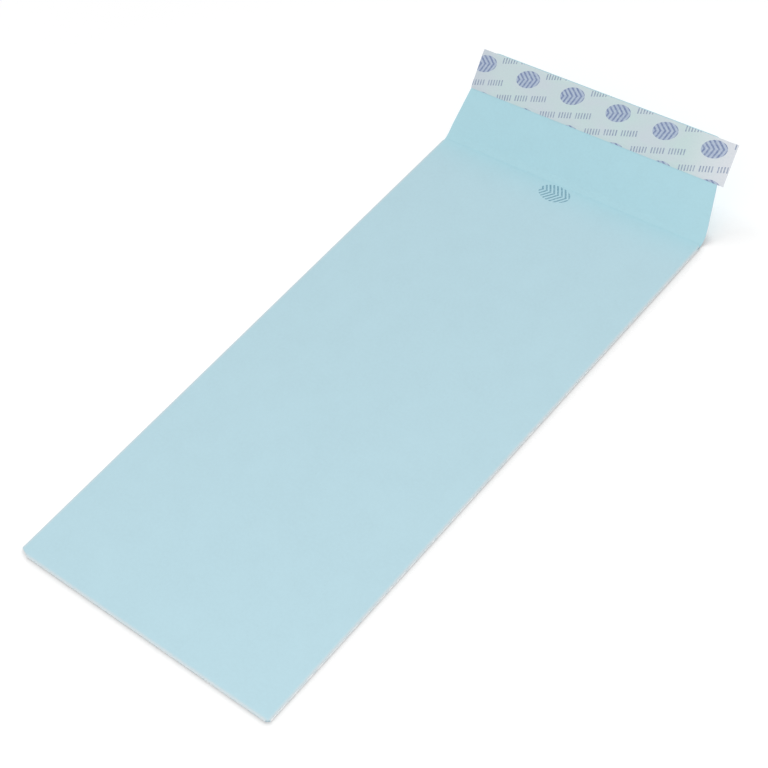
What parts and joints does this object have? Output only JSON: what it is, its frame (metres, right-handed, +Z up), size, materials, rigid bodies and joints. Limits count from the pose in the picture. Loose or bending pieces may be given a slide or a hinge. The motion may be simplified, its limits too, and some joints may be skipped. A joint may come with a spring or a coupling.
{
  "type": "peel and seal envelope",
  "caption": "Pocket envelope of folded paper with side seams and a short-side closing flap that carries a pressure-sensitive strip under a release liner.",
  "frame": {"origin": "middle of the address face, the face that the envelope lies on", "axes": "+Z up out of the back panel, +Y along the length towards the closing flap, +X across the width"},
  "size_m": [0.115, 0.251, 0.025],
  "materials": {
    "outer_paper": "smooth uncoated, matte",
    "inner_paper": "uncoated, matte",
    "flap_paper": "smooth uncoated, matte",
    "seam_gum": "dried gum",
    "adhesive": "tacky, glossy",
    "liner": "silicone-coated, satin"
  },
  "bodies": {
    "pocket": {"front_panel": "outer_paper", "back_panel": "outer_paper", "bottom_fold": "outer_paper", "left_side_fold": "outer_paper", "right_side_fold": "outer_paper", "left_seam_flap": "inner_paper", "right_seam_flap": "inner_paper", "left_seam_gum": "seam_gum", "right_seam_gum": "seam_gum"},
    "flap": {"closing_flap": "flap_paper", "adhesive_strip": "adhesive"},
    "liner": {"release_liner": "liner"}
  },
  "joints": [
    {"name": "flap_crease", "type": "hinge", "parent": "pocket", "child": "flap", "pos_m": [0, 0.1125, 0.00063], "axis": [1, 0, 0], "range_deg": [-44, 136]},
    {"name": "liner_peel", "type": "hinge", "parent": "flap", "child": "liner", "pos_m": [-0.0543, 0.13267, 0.01969], "axis": [0, -0.7193, -0.6947], "range_deg": [0, 179.5]}
  ]
}
